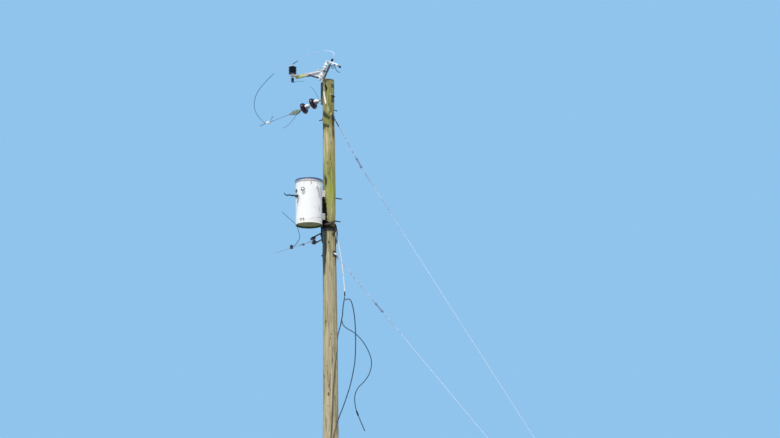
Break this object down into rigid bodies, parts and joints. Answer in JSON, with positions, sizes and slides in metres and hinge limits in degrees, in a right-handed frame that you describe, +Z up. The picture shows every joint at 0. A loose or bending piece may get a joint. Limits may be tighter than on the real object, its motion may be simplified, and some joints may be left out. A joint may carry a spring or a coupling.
{
  "type": "pole mounted transformer",
  "caption": "White can transformer hung on a round wooden dead-end pole with a fuse cutout, an arrester, a disc insulator string, two down guys and hanging service leads.",
  "frame": {"origin": "centre of the wooden pole at ground level", "axes": "+Z up along the pole, -Y from the pole to the transformer tank, the line leaves towards -X turned 26 degrees to -Y and the guys run to the opposite side"},
  "size_m": [6.0392, 3.0796, 9.3085],
  "materials": {
    "treated_wood": "matte",
    "tank_paint": "satin",
    "lid_paint": "satin",
    "tank_underside": "matte",
    "band_paint": "satin",
    "bare_steel": "matte",
    "hanger_paint": "satin",
    "rusty_steel": "matte",
    "white_porcelain": "gloss",
    "dull_brass": "matte",
    "grey_porcelain": "gloss",
    "galvanised_steel": "matte",
    "weathered_composite": "matte",
    "dark_polymer": "matte",
    "fibre_tube": "satin",
    "bare_wire": "satin",
    "clamp_aluminium": "matte",
    "brown_porcelain": "gloss",
    "dark_steel": "matte",
    "dark_porcelain": "gloss",
    "old_copper": "matte",
    "dark_insulator": "satin",
    "galvanised_strand": "satin",
    "black_insulation": "satin",
    "pale_insulation": "satin"
  },
  "bodies": {
    "structure": {"pole": "treated_wood", "tank_wall": "tank_paint", "tank_bottom": "tank_underside", "tank_lid": "lid_paint", "lid_band": "band_paint", "lifting_lugs": "tank_paint", "ground_bosses": "bare_steel", "upper_hanger": "hanger_paint", "lower_hanger": "hanger_paint", "hanger_bolts": "rusty_steel", "lv_bushing_right": "white_porcelain", "lv_bushing_front": "grey_porcelain", "lv_port": "bare_steel", "bushing_terminals": "dull_brass", "hv_bushing": "grey_porcelain", "top_bracket": "galvanised_steel", "bracket_bolts": "rusty_steel", "insulating_bar": "weathered_composite", "arrester_housing": "dark_polymer", "arrester_fittings": "galvanised_steel", "cutout_porcelain": "white_porcelain", "cutout_clamp": "galvanised_steel", "cutout_top": "galvanised_steel", "cutout_hinge": "galvanised_steel", "jumper": "bare_wire", "tap_clamp": "clamp_aluminium", "eye_bolt": "galvanised_steel", "disc_inner": "brown_porcelain", "disc_outer": "brown_porcelain", "disc_fittings": "galvanised_steel", "strain_clamp": "clamp_aluminium", "line_conductor": "bare_wire", "pole_band": "dark_steel", "neutral_clevis": "dark_steel", "neutral_spool": "dark_porcelain", "neutral_conductor": "bare_wire", "neutral_connector": "dark_steel", "cut_leads": "old_copper", "guy_bolts": "rusty_steel", "guy_links": "dark_insulator", "upper_guy": "galvanised_strand", "lower_guy": "galvanised_strand", "anchor_rod": "rusty_steel", "lead_wrap": "black_insulation", "service_leads": "pale_insulation", "service_cable": "black_insulation", "cable_loop": "black_insulation", "cable_tail": "black_insulation"},
    "fuse_holder": {"fuse_tube": "fibre_tube", "fuse_ends": "dull_brass"}
  },
  "joints": [
    {"name": "fuse_drop", "type": "hinge", "parent": "structure", "child": "fuse_holder", "pos_m": [0.04041, -0.10824, 8.80606], "axis": [-0.4384, 0.8988, 0], "range_deg": [0, 150]}
  ]
}
